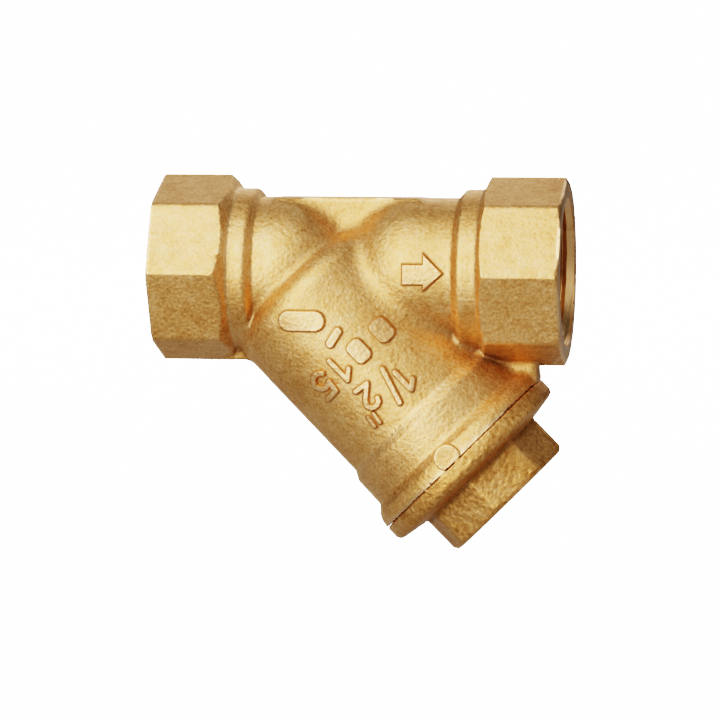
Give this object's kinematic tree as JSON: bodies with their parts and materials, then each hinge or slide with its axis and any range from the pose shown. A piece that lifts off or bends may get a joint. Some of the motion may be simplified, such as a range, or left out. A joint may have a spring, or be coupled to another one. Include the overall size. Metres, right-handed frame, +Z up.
{
  "type": "y strainer",
  "caption": "Brass Y strainer with octagonal female threaded ends, a sloping branch and a screw cap that releases the mesh screen inside.",
  "frame": {"origin": "centre of the inlet face, on the axis of the run", "axes": "+X along the run in the direction of flow, from inlet to outlet; +Z up, away from the branch; the branch leans down and forward at 45 degrees in the XZ plane"},
  "size_m": [0.058, 0.0307, 0.0532],
  "materials": {
    "cast_brass": "shot-blasted cast and forged brass with turned ends",
    "cap_brass": "forged brass with turned flange and thread",
    "gasket_ptfe": "plain white PTFE",
    "screen_steel": "stainless steel wire mesh",
    "band_steel": "rolled stainless steel strip"
  },
  "bodies": {
    "housing": {"body": "cast_brass"},
    "gasket_ring": {"cap_gasket": "gasket_ptfe"},
    "screw_cap": {"cap": "cap_brass"},
    "strainer": {"screen_mesh": "screen_steel", "screen_top_band": "band_steel", "screen_bottom_band": "band_steel"}
  },
  "joints": [
    {"name": "cap_turn", "type": "hinge", "parent": "gasket_ring", "child": "screw_cap", "pos_m": [0.01726, 0, 0], "axis": [0.7071, 0, -0.7071], "range_deg": [0, 10080]},
    {"name": "cap_travel", "type": "slide", "parent": "housing", "child": "gasket_ring", "axis": [0.7071, 0, -0.7071], "range_m": [0, 0.0421]},
    {"name": "screen_slide", "type": "slide", "parent": "housing", "child": "strainer", "axis": [0.7071, 0, -0.7071], "range_m": [0, 0.0331]}
  ],
  "couplings": [
    {"joint": "cap_travel", "follows": "cap_turn", "m_per_rad": 0.00023873},
    {"joint": "screen_slide", "follows": "cap_turn", "m_per_rad": 0.0001874}
  ]
}
